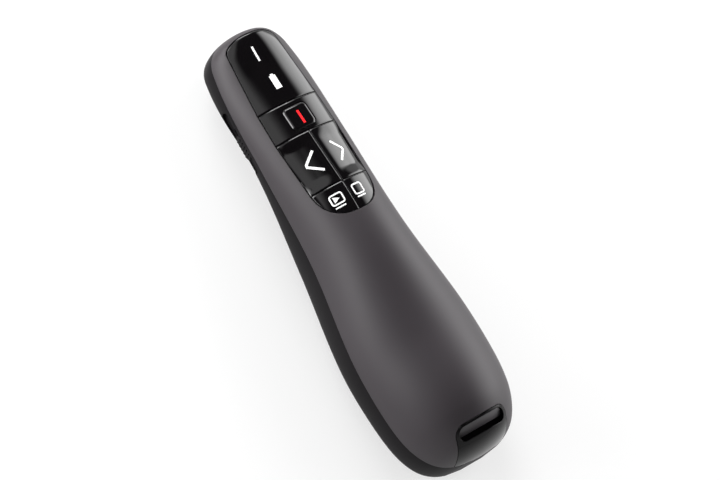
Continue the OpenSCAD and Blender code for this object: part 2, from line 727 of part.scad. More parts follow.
// ---- Power slider ----
knob_h = recess_h - 0.6;
knob_y = slider_y - slider_travel / 2;
knob_t = recess_depth - 0.4;
rib_t = 0.25;
module power_slider() color(soft_black) {
    floor_x = slider_x + recess_depth - 0.1;
    translate([floor_x, knob_y, slider_z]) rotate([90, 0, -90])
        linear_extrude(knob_t) rounded_square(knob_l, knob_h, knob_h / 2 - eps);
    for (k = [-2:2]) translate([floor_x - knob_t - rib_t, knob_y + k - 0.2, slider_z - knob_h / 2 + 0.4])
        cube([rib_t + 0.1, 0.4, knob_h - 0.8]);
    translate([floor_x - 0.1, knob_y - slider_slot_l / 2, slider_z - slider_stem_h / 2])
        cube([slide_switch_x0 - floor_x + 1.4, slider_slot_l, slider_stem_h]);
}
slide_switch_l = slider_slot_l + slider_travel + 1.6;
slide_switch_x0 = -side_x(slider_y, wall) + 1.4;
module slide_switch() color(steel) difference() {
    translate([slide_switch_x0, slider_y - slide_switch_l / 2, slider_z - 1])
        cube([3.5, slide_switch_l, board_z - slider_z + 1]);
    translate([slide_switch_x0 - 1, slider_y - (slider_slot_l + slider_travel) / 2 - 0.2,
        slider_z - slider_stem_h / 2 - 0.1])
        cube([3, slider_slot_l + slider_travel + 0.4, slider_stem_h + 0.2]);
}

// ---- Laser ----
lens_d = 4.4;
diode_d = 5;
module along_laser(y) translate([0, y, laser_z]) rotate([-90, 0, 0]) children();
module laser_barrel() color(brass) along_laser(barrel_rear) difference() {
    cylinder(d = barrel_d, h = barrel_l);
    translate([0, 0, -1]) cylinder(d = diode_d + 0.1, h = 4);
    cylinder(d = aperture_d, h = barrel_l + 1);
    translate([0, 0, barrel_l - 2.5]) cylinder(d = lens_d + 0.1, h = 3);
}
module laser_lens() color("#c9d6df") along_laser(barrel_front - 2.39) rotate_extrude()
    polygon(concat([[0, -0.25]], [for (k = [1:4]) [lens_d / 2 * k / 4, -0.25 + 0.25 * pow(k / 4, 2)]],
        [[lens_d / 2, 1.2]], [for (k = [3:-1:0]) [lens_d / 2 * k / 4, 1.8 - 0.6 * pow(k / 4, 2)]]));
module laser_diode() color(brass) along_laser(barrel_rear) {
    translate([0, 0, 1.8]) cylinder(d = diode_d, h = 1.2);
    translate([0, 0, 2.9]) cylinder(d = aperture_d - 0.2, h = 2);
    for (a = [90, 210, 330]) rotate(a) translate([1.2, 0, -2.8]) cylinder(d = 0.45, h = 4.7);
}
module laser_driver_board() color(board_green) along_laser(barrel_rear - 2.6) difference() {
    translate([-3.1, -3.1, 0]) cube([6.2, 5.8, 0.8]);
    for (a = [90, 210, 330]) rotate(a) translate([1.2, 0, -1]) cylinder(d = 0.5, h = 3);
}
module laser_bezel() color(gloss_black) along_laser(nose_y - 1) difference() {
    cylinder(d = bezel_d, h = 0.85);
    translate([0, 0, -1]) cylinder(d = aperture_d - 0.4, h = 3);
}

// ---- Batteries ----
cradle_low = 3.7;
rail_h = receiver_t - 1;
cradle_top = cradle_z + cradle_t;
// The roof reaches close to the shell; the end walls stop short of the hooks
function roof_half(y) = min(hook_x + 1.2, side_at(y, cradle_top, wall) - 0.3);
function end_half(y) = min(hook_x - 0.4, side_at(y, cradle_top, wall) - 0.3,
    side_at(y, cradle_low, wall) - 0.3);
module cradle_roof() linear_extrude(cradle_t) {
    ys = [for (k = [0:8]) mix([cradle_rear, cradle_front], k / 8)];
    polygon(concat([for (y = ys) [roof_half(y), y]],
        [for (k = [8:-1:0]) [-roof_half(ys[k]), ys[k]]]));
    shelf_w = housing_w;
    translate([-shelf_w / 2, tail_y + lip_t + 0.4])
        square([shelf_w, cradle_rear - tail_y - lip_t - 0.3]);
}
module battery_cradle() color(plastic_grey) {
    translate([0, 0, cradle_z]) cradle_roof();
    for (y = [cradle_rear, cells_front + contact_t]) difference() {
        w = end_half(y);
        translate([-w, y, cradle_low]) cube([2 * w, cradle_wall, cradle_z - cradle_low + eps]);
        for (s = [-1, 1]) translate([s * cell_x - 0.9, y - 1, cell_z + 2.4])
            cube([1.8, cradle_wall + 2, 0.9]);
    }
    for (s = [-1, 1]) {
        translate([s * (hook_x + 0.55) - 0.4, hook_ys[0] + hook_l / 2 + 1.5, band_rail_z])
            cube([0.8, hook_ys[1] - hook_ys[0] - hook_l - door_travel - 3,
                cradle_z - band_rail_z + eps]);
        translate([s * (housing_w / 2 + 0.65) - 0.5, cap_front + 0.5, cradle_top - eps])
            cube([1, receiver_l - 0.5, rail_h]);
    }
}
module cell() {
    cylinder(r = cell_r - 0.15, h = 0.4);
    translate([0, 0, 0.3]) cylinder(r = cell_r, h = cell_l - 1.4);
    translate([0, 0, cell_l - 1.2]) cylinder(r = cell_r - 0.4, h = 0.4);
    translate([0, 0, cell_l - 1]) cylinder(d = 3.8, h = 1);
}
module aaa_cell_left() color("#3c4a86") translate([-cell_x, cells_rear + spring_l, cell_z])
    rotate([-90, 0, 0]) cell();
module aaa_cell_right() color("#3c4a86") translate([cell_x, cells_rear + cell_l, cell_z])
    rotate([90, 0, 0]) cell();

spring_wire = 0.45;
spring_turns = 2.5;
coil_steps = 10;
function coil_centre(u) = let (a = 360 * spring_turns * u, r = 2.6 - 0.9 * u)
    [r * cos(a), r * sin(a), spring_wire / 2 + 0.02 + (spring_l - spring_wire - 0.04) * u];
module coil() {
    n = spring_turns * coil_steps;
    rings = [for (i = [0:n]) let (u = i / n, a = 360 * spring_turns * u, c = coil_centre(u))
        [for (k = [0:4]) c + spring_wire / 2
            * [cos(a) * cos(72 * k), sin(a) * cos(72 * k), sin(72 * k)]]];
    sides = [for (i = [0:n - 1], k = [0:4]) let (p = i * 5 + k, q = i * 5 + (k + 1) % 5)
        each [[p, q + 5, p + 5], [p, q, q + 5]]];
    polyhedron([for (r = rings) each r],
        concat([[4, 3, 2, 1, 0]], sides, [[for (k = [0:4]) n * 5 + k]]));
}
module contact_springs() color(steel) {
    translate([-cell_x, cells_rear, cell_z]) rotate([-90, 0, 0]) coil();
    translate([cell_x, cells_front, cell_z]) rotate([90, 0, 0]) coil();
}
pad_h = 5.6;
module tail_contact() color(steel) translate([-cell_x - 3.4, cells_rear - contact_t, cell_z - pad_h / 2])
    cube([2 * cell_x + 6.8, contact_t, pad_h]);
// Each front contact runs through the cradle's wall and up to the board
module front_contacts() color(steel) for (s = [-1, 1]) translate([s * cell_x, 0, 0]) {
    translate([-3.2, cells_front, cell_z - pad_h / 2]) cube([6.4, contact_t, pad_h]);
    translate([-0.7, cells_front, cell_z + 2.5]) cube([1.4, board_rear + 1 - cells_front, contact_t]);
    translate([-0.7, board_rear + 1 - contact_t, cell_z + 2.5])
        cube([1.4, contact_t, board_z - cell_z - 2.5]);
}

// ---- Receiver ----
slot_y = tail_y + 6.6;
lip_t = 3.2;
cap_reach = cap_front - tail_y + 2.3;
module cap_rings() loft([for (k = [1:9]) ring(tail_y + cap_reach * pow(k / 9, 2.3), 0, 48)]);
module receiver_cap() color(gloss_black) difference() {
    intersection() {
        cap_rings();
        translate([0, 0, parting_z + 0.15]) linear_extrude(30) cap_outline();
    }
    translate([-20, tail_y + lip_t, -1]) cube([40, 30, receiver_low_z + 1]);
    translate([0, slot_y, crown_z(0, slot_y) - slot_depth]) linear_extrude(10)
        rounded_square(slot_l, slot_w, slot_w / 2 - eps);
}
housing_front = cap_front + receiver_l;
housing_w = receiver_w - 0.6;
usb_w = 12;
usb_h = 4.5;
usb_wall = 0.35;
plug_root = 3;
module receiver_housing() color(gloss_black) difference() {
    translate([0, housing_front, receiver_z]) rotate([90, 0, 0])
        linear_extrude(receiver_l) rounded_square(housing_w, receiver_t, 2.2);
    difference() {
        translate([-housing_w / 2 + 0.7, cap_front + 1, receiver_low_z + 0.9])
            cube([housing_w - 1.4, receiver_l - 2, receiver_t - 1.8]);
        for (s = [-1, 1]) translate([s * (housing_w / 2 - 1.2) - 0.8, cap_front, receiver_low_z])
            cube([1.6, receiver_l - plug_root - 1, receiver_board_z - receiver_low_z]);
    }
    translate([0, housing_front - 4, receiver_z]) rotate([-90, 0, 0])
        linear_extrude(5) rounded_square(usb_w + 0.1, usb_h + 0.1, 0.55);
}
receiver_board_z = receiver_z - 0.85;
receiver_board_t = 0.8;
module receiver_board() color(board_green)
    translate([-usb_w / 2 + 0.1, cap_front + 1.2, receiver_board_z])
        cube([usb_w - 0.2, receiver_l - 1.2 - plug_root - 0.1, receiver_board_t]);
module receiver_chip() color(chip_black)
    translate([-2.5, cap_front + 12, receiver_board_z + receiver_board_t]) cube([5, 5, 0.9]);
module usb_shell() color(steel) translate([0, housing_front + plug_l, receiver_z]) difference() {
    rotate([90, 0, 0]) linear_extrude(plug_l + plug_root) difference() {
        rounded_square(usb_w, usb_h, 0.5);
        rounded_square(usb_w - 2 * usb_wall, usb_h - 2 * usb_wall, 0.3);
    }
    for (s = [-1, 1]) translate([s * 2.8 - 1, -7.2, -5]) cube([2, 2.4, 10]);
}
tongue_t = 1.85;
tongue_z = receiver_z + usb_h / 2 - usb_wall - 0.02 - tongue_t;
module usb_tongue() color(white_plastic)
    translate([-usb_w / 2 + usb_wall + 0.25, housing_front - plug_root, tongue_z])
        cube([usb_w - 2 * usb_wall - 0.5, plug_l + plug_root - 0.6, tongue_t]);
module usb_contacts() color(brass) for (x = [-3.5, -1, 1, 3.5])
    translate([x - 0.5, housing_front - 1, tongue_z - 0.15]) cube([1, plug_l - 1, 0.15]);

top_case();
bottom_case();
battery_door();
status_window();
key_surround();
laser_button();
previous_button();
next_button();
slideshow_button();
blank_screen_button();
laser_plunger();
previous_plunger();
next_plunger();
slideshow_plunger();
blank_screen_plunger();
key_switches();
circuit_board();
controller_chip();
radio_chip();
crystal();
power_led();
battery_led();
light_guides();
board_screws();
power_slider();
slide_switch();
laser_barrel();
laser_lens();
laser_diode();
laser_driver_board();
laser_bezel();
battery_cradle();
aaa_cell_left();
aaa_cell_right();
contact_springs();
tail_contact();
front_contacts();
case_screws();
receiver_cap();
receiver_housing();
receiver_board();
receiver_chip();
usb_shell();
usb_tongue();
usb_contacts();
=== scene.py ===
"""Wireless presentation clicker: fine surfaces, materials, light and camera.

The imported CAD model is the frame. The shell's skin, the panel and its keys are
laid here on the same stations and powers as the part, with more points, and
every other piece keeps its CAD solid under a better material.
Shapes are worked out in millimetres, and turned into metres as they are finished.
"""

import json
import math

import bmesh
import bpy
import numpy as np
from mathutils import Matrix, Vector


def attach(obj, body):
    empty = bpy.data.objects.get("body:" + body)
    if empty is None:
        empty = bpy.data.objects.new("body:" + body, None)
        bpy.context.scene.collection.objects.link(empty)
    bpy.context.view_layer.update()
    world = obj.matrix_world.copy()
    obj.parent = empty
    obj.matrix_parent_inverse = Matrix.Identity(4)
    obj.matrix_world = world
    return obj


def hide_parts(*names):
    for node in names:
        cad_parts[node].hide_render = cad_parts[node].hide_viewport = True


MM = 0.001

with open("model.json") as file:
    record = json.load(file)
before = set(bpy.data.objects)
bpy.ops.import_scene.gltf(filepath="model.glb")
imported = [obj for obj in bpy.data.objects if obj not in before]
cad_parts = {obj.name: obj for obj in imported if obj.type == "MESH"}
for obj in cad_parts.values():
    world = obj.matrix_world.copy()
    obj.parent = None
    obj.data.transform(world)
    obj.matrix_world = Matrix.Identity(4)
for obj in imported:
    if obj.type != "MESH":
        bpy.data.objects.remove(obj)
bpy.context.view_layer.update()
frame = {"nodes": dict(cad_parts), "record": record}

# ---- The body's form, as in the part -------------------------------------

BODY_L = 115.5
TAIL_Y = -BODY_L / 2
NOSE_Y = BODY_L / 2
STATION_Y = np.array([-0.5, -0.39, -0.22, 0, 0.22, 0.39, 0.5]) * BODY_L
HALF_WIDTHS = np.array([32.6, 33.4, 34, 27, 24.4, 23.8, 19.6]) / 2
CROWNS = np.array([19, 25.4, 24.5, 24, 20.5, 18, 18])
BELLIES = np.array([0, -1, -1, -0.6, 5.2, 4.4, 3.1])
WATERLINE = 0.28
TAIL_ROUND, TAIL_POWER = 22.8, 3
NOSE_ROUND, NOSE_POWER = 7.0, 2.4
TAIL_EDGE, NOSE_EDGE, EDGE_POWER = 5.2, 3.3, 2.2
CROWN_POWERS = (1.92, 2.19)
BELLY_POWERS = (2.3, 3.0)


def along(values, y):
    """Smooth curve through the stations' values, at each y."""
    y = np.asarray(y, float)
    i = np.clip(np.searchsorted(STATION_Y, y, side="left") - 1, 0, len(STATION_Y) - 2)
    before = np.maximum(i - 1, 0)
    after = np.minimum(i + 1, len(STATION_Y) - 1)
    after_next = np.minimum(i + 2, len(STATION_Y) - 1)
    h = STATION_Y[i + 1] - STATION_Y[i]
    t = (y - STATION_Y[i]) / h
    slope_a = (values[after] - values[before]) / (STATION_Y[after] - STATION_Y[before])
    slope_b = (values[after_next] - values[i]) / (STATION_Y[after_next] - STATION_Y[i])
    return (
        (2 * t**3 - 3 * t**2 + 1) * values[i]
        + (t**3 - 2 * t**2 + t) * h * slope_a
        + (3 * t**2 - 2 * t**3) * values[i + 1]
        + (t**3 - t**2) * h * slope_b
    )


def round_end(d, r, power):
    """Share of the full size left at a distance from a rounded end."""
    gap = 1 - np.clip(np.asarray(d, float) / r, 0, 1)
    return (1 - gap**power) ** (1 / power)


def section(y):
    """Half width, waterline, top, bottom and the two powers of the section at y."""
    plan = round_end(y - TAIL_Y, TAIL_ROUND, TAIL_POWER) * round_end(
        NOSE_Y - y, NOSE_ROUND, NOSE_POWER
    )
    half = along(HALF_WIDTHS, y) * plan
    crown = along(CROWNS, y)
    belly = along(BELLIES, y)
    water = belly + (crown - belly) * WATERLINE
    profile = round_end(y - TAIL_Y, TAIL_EDGE, EDGE_POWER) * round_end(
        NOSE_Y - y, NOSE_EDGE, EDGE_POWER
    )
    share = y / BODY_L + 0.5
    return (
        half,
        water,
        water + (crown - water) * profile,
        water + (belly - water) * profile,
        CROWN_POWERS[0] + (CROWN_POWERS[1] - CROWN_POWERS[0]) * share,
        BELLY_POWERS[0] + (BELLY_POWERS[1] - BELLY_POWERS[0]) * share,
    )


def skin_level(x, y, z):
    """1 on the skin, less inside it and more outside it, measured in the section."""
    half, water, top, bottom, crown_power, belly_power = section(y)
    above = z >= water
    rise = np.where(above, z - water, water - z)
    reach = np.maximum(np.where(above, top - water, water - bottom), 1e-6)
    power = np.where(above, crown_power, belly_power)
    half = np.maximum(half, 1e-6)
    return ((np.abs(x) / half) ** power + (rise / reach) ** power) ** (1 / power)


def skin_normal(x, y, z):
    """Outward normal of the skin, from differences of its level."""
    e = 0.02
    y = np.clip(y, TAIL_Y + 0.08, NOSE_Y - 0.08)
    normal = np.stack(
        [
            skin_level(x + e, y, z) - skin_level(x - e, y, z),
            skin_level(x, y + e, z) - skin_level(x, y - e, z),
            skin_level(x, y, z + e) - skin_level(x, y, z - e),
        ],
        axis=-1,
    )
    return normal / np.linalg.norm(normal, axis=-1, keepdims=True)


def crown_z(x, y):
    """Height of the crown over a point."""
    half, water, top, _, power, _ = section(y)
    share = np.clip(np.abs(x) / half, 0, 1)
    return water + (top - water) * (1 - share**power) ** (1 / power)


# ---- The key panel ---------------------------------------------------------
# The outline is the part's. The tops of the four keys at its tail end differ.

SEAM = 0.2
PANEL_FRONT = NOSE_Y - 2.5
WINDOW_REAR = PANEL_FRONT - 19.1
BAND_REAR = WINDOW_REAR - 8.4
PAGE_REAR = BAND_REAR - 14.4
PANEL_REAR = PAGE_REAR - 7.8
EDGE_DROP, EDGE_RUN, NO_EDGE = 0.12, 0.3, 9.0
RIDGE_HALF_W, SLOPE_W, SLOPE_ROUND = 0.9, 3.4, 0.45
PAGE_SLOPE, PAGE_END = 0.13, 3.2
LASER_KEY_Y = (WINDOW_REAR + BAND_REAR) / 2 - 0.2
LASER_KEY_HALF_W, LASER_KEY_HALF_L, LASER_KEY_CORNER = 3.2, 3.0, 1.1
LASER_KEY_RISE, LASER_KEY_DROP, LASER_KEY_RUN = 0.3, 0.34, 0.6


def page_fall(x, y):
    """Fall of the two page keys from a shared ridge, in place of the part's dishes."""
    off = np.abs(x) - RIDGE_HALF_W
    beyond = off - SLOPE_W
    across = (np.hypot(off, SLOPE_ROUND) - np.hypot(beyond, SLOPE_ROUND) + SLOPE_W) / 2
    ends = np.clip(np.minimum(y - PAGE_REAR, BAND_REAR - y) / PAGE_END, 0, 1)
    fade = ends**2 * (3 - 2 * ends)
    return PAGE_SLOPE * across * fade


def panel_top(rear, front, side=0, sloped=False, tilt=0.0, bend=0.0):
    """Height function of a panel piece; side is -1 or 1 for one of a pair.

    The edges that meet other pieces are rolled, and the outer ones stay crisp.
    A piece at the panel's tail end leans down towards the tail.
    """

    def top(x, y):
        inner = side * x - SEAM / 2 if side else np.full(np.shape(x), NO_EDGE)
        gap = np.minimum(inner, np.minimum(y - rear, front - y))
        rolled = EDGE_DROP * np.clip(1 - gap / EDGE_RUN, 0, 1) ** 2
        away = front - y
        lean = tilt * away + bend * away**2
        return crown_z(x, y) - rolled - lean - (page_fall(x, y) if sloped else 0)

    return top


def laser_key_top(x, y):
    """Height of the laser key, with its edge rounded all the way round."""
    over_x = np.abs(x) - LASER_KEY_HALF_W + LASER_KEY_CORNER
    over_y = np.abs(y - LASER_KEY_Y) - LASER_KEY_HALF_L + LASER_KEY_CORNER
    corner = np.hypot(np.maximum(over_x, 0), np.maximum(over_y, 0))
    gap = LASER_KEY_CORNER - corner - np.minimum(np.maximum(over_x, over_y), 0)
    rolled = LASER_KEY_DROP * np.clip(1 - gap / LASER_KEY_RUN, 0, 1) ** 2
    return crown_z(x, y) + LASER_KEY_RISE - rolled


# ---- Camera ----------------------------------------------------------------

IMAGE_W, IMAGE_H = 720, 480
SENSOR_MM = 36.0
CAMERA_AZIMUTH = math.radians(74.75)
CAMERA_ELEVATION = math.radians(64.13)
CAMERA_ROLL = math.radians(46.15)
CAMERA_DISTANCE = 480.77
AIM = Vector((0, 0, 12))
PIXELS_PER_MM = 4.27
AXIS_PIXEL = (357.26, 243.06)


def add_camera():
    towards = Vector(
        (
            -math.sin(CAMERA_AZIMUTH) * math.cos(CAMERA_ELEVATION),
            -math.cos(CAMERA_AZIMUTH) * math.cos(CAMERA_ELEVATION),
            math.sin(CAMERA_ELEVATION),
        )
    )
    level = Vector((0, 0, 1)).cross(towards).normalized()
    upright = towards.cross(level)
    c, s = math.cos(CAMERA_ROLL), math.sin(CAMERA_ROLL)
    right = c * level + s * upright
    up = c * upright - s * level
    data = bpy.data.cameras.new("camera")
    data.sensor_width = SENSOR_MM
    data.lens = SENSOR_MM * PIXELS_PER_MM * CAMERA_DISTANCE / IMAGE_W
    data.shift_x = (IMAGE_W / 2 - AXIS_PIXEL[0]) / IMAGE_W
    data.shift_y = (AXIS_PIXEL[1] - IMAGE_H / 2) / IMAGE_W
    data.clip_start = 0.01
    camera = bpy.data.objects.new("camera", data)
    turn = Matrix((right, up, towards)).transposed().to_4x4()
    camera.matrix_world = Matrix.Translation((AIM + towards * CAMERA_DISTANCE) * MM) @ turn
    bpy.context.collection.objects.link(camera)
    bpy.context.scene.camera = camera


add_camera()

# ---- Material building -----------------------------------------------------


class Nodes:
    """Short way to build a material's node tree."""

    def __init__(self, name):
        self.material = bpy.data.materials.new(name)
        self.material.use_nodes = True
        self.tree = self.material.node_tree
        self.shader = self.tree.nodes["Principled BSDF"]

    def add(self, kind, operation=None, **sockets):
        """Adds a node and fills its sockets; n0, n1 ... name them by place."""
        node = self.tree.nodes.new("ShaderNode" + kind)
        if operation:
            node.operation = operation
        self.fill(node, sockets)
        return node

    def fill(self, node, sockets):
        for key, value in sockets.items():
            by_place = key[0] == "n" and key[1:].isdigit()
            socket = node.inputs[int(key[1:]) if by_place else key.replace("_", " ")]
            if isinstance(value, bpy.types.NodeSocket):
                self.tree.links.new(value, socket)
            else:
                socket.default_value = value

    def principled(self, **sockets):
        self.fill(self.shader, sockets)

    def place(self):
        return self.add("TexCoord").outputs["Object"]

    def noise(self, scale, detail=3.0, roughness=0.55, vector=None):
        texture = self.add("TexNoise", Scale=scale, Detail=detail, Roughness=roughness)
        self.tree.links.new(vector or self.place(), texture.inputs["Vector"])
        return texture.outputs["Fac"]

    def ramp(self, fac, *stops):
        """Colour ramp through (place, colour) stops."""
        node = self.add("ValToRGB", Fac=fac)
        elements = node.color_ramp.elements
        while len(elements) < len(stops):
            elements.new(0.5)
        for element, (position, colour) in zip(elements, stops):
            element.position = position
            element.color = (*colour, 1.0)
        return node.outputs["Color"]

    def between(self, fac, low, high):
        return self.add("MapRange", Value=fac, To_Min=low, To_Max=high).outputs["Result"]

    def bump(self, height, strength, distance, soft_edge=0.0):
        """Bump over the plain normal, or over edges softened by a small radius."""
        node = self.add("Bump", Strength=strength, Distance=distance, Height=height)
        if soft_edge:
            edge = self.add("Bevel", Radius=soft_edge)
            self.tree.links.new(edge.outputs["Normal"], node.inputs["Normal"])
        return node.outputs["Normal"]


def shade(colour, factor):
    """The colour made lighter or darker."""
    return tuple(min(1.0, c * factor) for c in colour)


# ---- Materials -------------------------------------------------------------

SOFT_TOUCH_COLOUR = (0.0325, 0.0270, 0.0315)
# The lower shell's colour is darker than the top case's: painted shade for the body's lower side.
SHELL_SHADE_COLOUR = (0.0085, 0.0075, 0.0085)


def soft_touch():
    """Rubbery coat: a fine even grain, slightly polished where hands rub it."""
    n = Nodes("soft_touch")
    cloud = n.noise(55.0, 4.0)
    grain = n.noise(5200.0, 3.0, 0.6)
    n.principled(
        Base_Color=n.ramp(
            cloud, (0.3, shade(SOFT_TOUCH_COLOUR, 0.95)), (0.7, shade(SOFT_TOUCH_COLOUR, 1.05))
        ),
        Roughness=n.between(cloud, 0.49, 0.54),
        Normal=n.bump(grain, 0.10, 0.00002, soft_edge=0.00018),
        IOR=1.45,
    )
    return n.material


def shell_black():
    """Bare moulded plastic of the lower shell, with a spark-eroded grain; its darker colour is
    painted shade for the body's lower side.
    """
    n = Nodes("shell_black")
    grain = n.noise(3200.0, 4.0, 0.65)
    cloud = n.noise(80.0, 3.0)
    n.principled(
        Base_Color=n.ramp(
            cloud, (0.3, shade(SHELL_SHADE_COLOUR, 0.9)), (0.7, shade(SHELL_SHADE_COLOUR, 1.1))
        ),
        Roughness=n.between(cloud, 0.42, 0.5),
        Normal=n.bump(grain, 0.2, 0.00003, soft_edge=0.00018),
        Specular_IOR_Level=0.06,
    )
    return n.material


def gloss_black(name="gloss_black", shine=0.5, soft_edge=0.00006):
    """Polished plastic with a trace of haze and hairline rubs."""
    n = Nodes(name)
    colour = (0.0035, 0.003, 0.0035)
    haze = n.noise(140.0, 5.0, 0.6)
    stretch = n.add("Mapping", Vector=n.place(), Scale=(1.0, 12.0, 1.0))
    rubs = n.noise(900.0, 2.0, 0.5, stretch.outputs["Vector"])
    n.principled(
        Base_Color=n.ramp(haze, (0.3, shade(colour, 0.85)), (0.7, shade(colour, 1.2))),
        Roughness=n.between(haze, 0.03, 0.06),
        Normal=n.bump(rubs, 0.02, 0.00001, soft_edge=soft_edge),
        Specular_IOR_Level=shine,
    )
    return n.material


def moulded(name, colour, roughness, grain_scale=1800.0, depth=0.00003):
    """Plain moulded plastic with a fine grain."""
    n = Nodes(name)
    grain = n.noise(grain_scale, 4.0, 0.6)
    cloud = n.noise(120.0, 3.0)
    n.principled(
        Base_Color=n.ramp(cloud, (0.3, shade(colour, 0.92)), (0.7, shade(colour, 1.08))),
        Roughness=n.between(grain, roughness * 0.88, roughness * 1.12),
        Normal=n.bump(grain, 0.15, depth, soft_edge=0.00008),
    )
    return n.material


def metal(name, colour, roughness, stretch=(1.0, 1.0, 14.0)):
    """Plated or turned metal: fine lines along one way and faint stains."""
    n = Nodes(name)
    drawn = n.add("Mapping", Vector=n.place(), Scale=stretch)
    lines = n.noise(2600.0, 3.0, 0.6, drawn.outputs["Vector"])
    stains = n.noise(260.0, 4.0)
    n.principled(
        Base_Color=n.ramp(stains, (0.3, shade(colour, 0.88)), (0.65, colour)),
        Roughness=n.between(lines, roughness * 0.75, roughness * 1.3),
        Metallic=1.0,
        Normal=n.bump(lines, 0.12, 0.00001, soft_edge=0.00005),
    )
    return n.material


def board_laminate():
    """Green solder mask over copper tracks, which show as paler raised lines."""
    n = Nodes("board_laminate")
    mask, over_copper = (0.008, 0.075, 0.035), (0.02, 0.14, 0.06)
    tracks = n.add(
        "TexBrick",
        Vector=n.place(),
        Scale=260.0,
        Mortar_Size=0.06,
        Color1=(0, 0, 0, 1),
        Color2=(0, 0, 0, 1),
        Mortar=(1, 1, 1, 1),
    )
    n.principled(
        Base_Color=n.ramp(tracks.outputs["Color"], (0.2, mask), (0.8, over_copper)),
        Roughness=n.between(n.noise(500.0), 0.25, 0.4),
        Normal=n.bump(tracks.outputs["Color"], 0.3, 0.00004),
    )
    return n.material


def clear_plastic(name, colour, roughness):
    """Clear moulding with faint flow lines."""
    n = Nodes(name)
    swirl = n.noise(400.0, 3.0)
    n.principled(
        Base_Color=n.ramp(swirl, (0.3, shade(colour, 0.96)), (0.7, colour)),
        Roughness=n.between(swirl, roughness * 0.8, roughness * 1.3),
        Transmission_Weight=0.85,
        IOR=1.5,
    )
    return n.material


def cell_sleeve(name, rear, front, button_ahead):
    """Plain two-tone sleeve; the steel ends and the button show at both ends."""
    n = Nodes(name)
    y = n.add("SeparateXYZ", Vector=n.place()).outputs["Y"]
    share = n.add("MapRange", Value=y, From_Min=rear * MM, From_Max=front * MM).outputs["Result"]
    if not button_ahead:
        share = n.add("Math", "SUBTRACT", n0=1.0, n1=share).outputs[0]
    steel, navy, band = (0.62, 0.62, 0.63), (0.018, 0.030, 0.075), (0.40, 0.19, 0.07)
    sleeve_from, band_from, steel_from = 0.018, 0.74, 0.965
    colour = n.ramp(share, (0.0, steel), (sleeve_from, navy), (band_from, band), (steel_from, steel))
    colour.node.color_ramp.interpolation = "CONSTANT"
    bare = n.ramp(share, (0.0, (1, 1, 1)), (sleeve_from, (0, 0, 0)), (steel_from, (1, 1, 1)))
    bare.node.color_ramp.interpolation = "CONSTANT"
    n.principled(
        Base_Color=colour,
        Metallic=n.between(bare, 0.15, 1.0),
        Roughness=n.between(n.noise(300.0), 0.22, 0.34),
        Normal=n.bump(n.noise(1500.0), 0.05, 0.00001, soft_edge=0.0001),
    )
    return n.material


def ink(name, colour, painted_glow=0.0):
    """Printed mark with a slightly uneven edge of the paint; a painted glow, when given, makes the
    print shine though no lamp lights it.
    """
    n = Nodes(name)
    speckle = n.noise(2500.0, 2.0)
    tone = n.ramp(speckle, (0.2, shade(colour, 0.93)), (0.6, colour))
    n.principled(Base_Color=tone, Roughness=n.between(speckle, 0.35, 0.5))
    # Painted glow: the printed mark emits light of its own.
    if painted_glow:
        n.principled(Emission_Color=tone, Emission_Strength=painted_glow)
    return n.material


CELL_ENDS = (TAIL_Y + 10.85, TAIL_Y + 55.35)
REVERSED_ENDS = (CELL_ENDS[0] - 2.2, CELL_ENDS[1] - 2.2)
MATERIALS = {
    "soft_touch": soft_touch(),
    "shell_black": shell_black(),
    "gloss_black": gloss_black(),
    "cradle_plastic": moulded("cradle_plastic", (0.045, 0.045, 0.048), 0.5),
    "board_laminate": board_laminate(),
    "chip_epoxy": moulded("chip_epoxy", (0.013, 0.013, 0.014), 0.5, 4000.0, 0.00002),
    "bright_steel": metal("bright_steel", (0.62, 0.63, 0.65), 0.24, (1.0, 14.0, 1.0)),
    "spring_steel": metal("spring_steel", (0.70, 0.70, 0.72), 0.2),
    "brass": metal("brass", (0.70, 0.50, 0.20), 0.26),
    "lens_glass": clear_plastic("lens_glass", (0.92, 0.95, 0.97), 0.02),
    "guide_plastic": clear_plastic("guide_plastic", (0.85, 0.88, 0.90), 0.15),
    "cell_sleeve": cell_sleeve("cell_sleeve", *CELL_ENDS, True),
    "white_plastic": moulded("white_plastic", (0.78, 0.78, 0.76), 0.4),
}
CAP_BLACK = gloss_black("cap_black", 0.16, 0.00022)
CELL_REVERSED = cell_sleeve("cell_sleeve_reversed", *REVERSED_ENDS, False)
# The finger scoop's pale grey is painted light, for the lit face inside the cap's slot.
SCOOP_PAINTED_LIGHT = moulded("scoop_painted_light", (0.060, 0.055, 0.059), 0.45)
# Both inks glow a little: painted light on the printed marks.
WHITE_INK_PAINTED_GLOW = ink("white_ink_painted_glow", (0.86, 0.86, 0.86), 0.25)
RED_INK_PAINTED_GLOW = ink("red_ink_painted_glow", (0.85, 0.001, 0.006), 0.45)

for part in frame["record"]["subparts"]:
    cad = frame["nodes"][part["node"]]
    cad.data.materials.clear()
    cad.data.materials.append(MATERIALS[part["material_slot"]])
reversed_cell = frame["nodes"]["aaa_cell_right"]
reversed_cell.data.materials.clear()
reversed_cell.data.materials.append(CELL_REVERSED)

# ---- Fine surfaces -------------------------------------------------------

JOIN_DISTANCE = 0.0005
SAME_PLANE = 0.94
SMALLEST_FACE = 1e-7
SHORTEST_EDGE_WAY = 0.05
PROBE = 0.05
LONGEST_STEP, LONGEST_MOVE = 0.3, 0.45
NOSE_FACE = 0.8
SKIN_LEVEL, SKIN_FACING, SKIN_LOWEST = 0.94, 0.8, 0.002
TOP_REACH, TOP_FACING = 0.35, 0.6


def cad_copy(node):
    """The CAD node's mesh in millimetres, with its split corners joined."""
    mesh = bmesh.new()
    mesh.from_mesh(frame["nodes"][node].data)
    bmesh.ops.scale(mesh, vec=Vector((1, 1, 1)) / MM, verts=mesh.verts)
    bmesh.ops.remove_doubles(mesh, verts=mesh.verts, dist=JOIN_DISTANCE)
    mesh.normal_update()
    return mesh


def points_of(vertices):
    """The vertices' places as rows."""
    return np.array([vertex.co for vertex in vertices]).reshape(-1, 3)


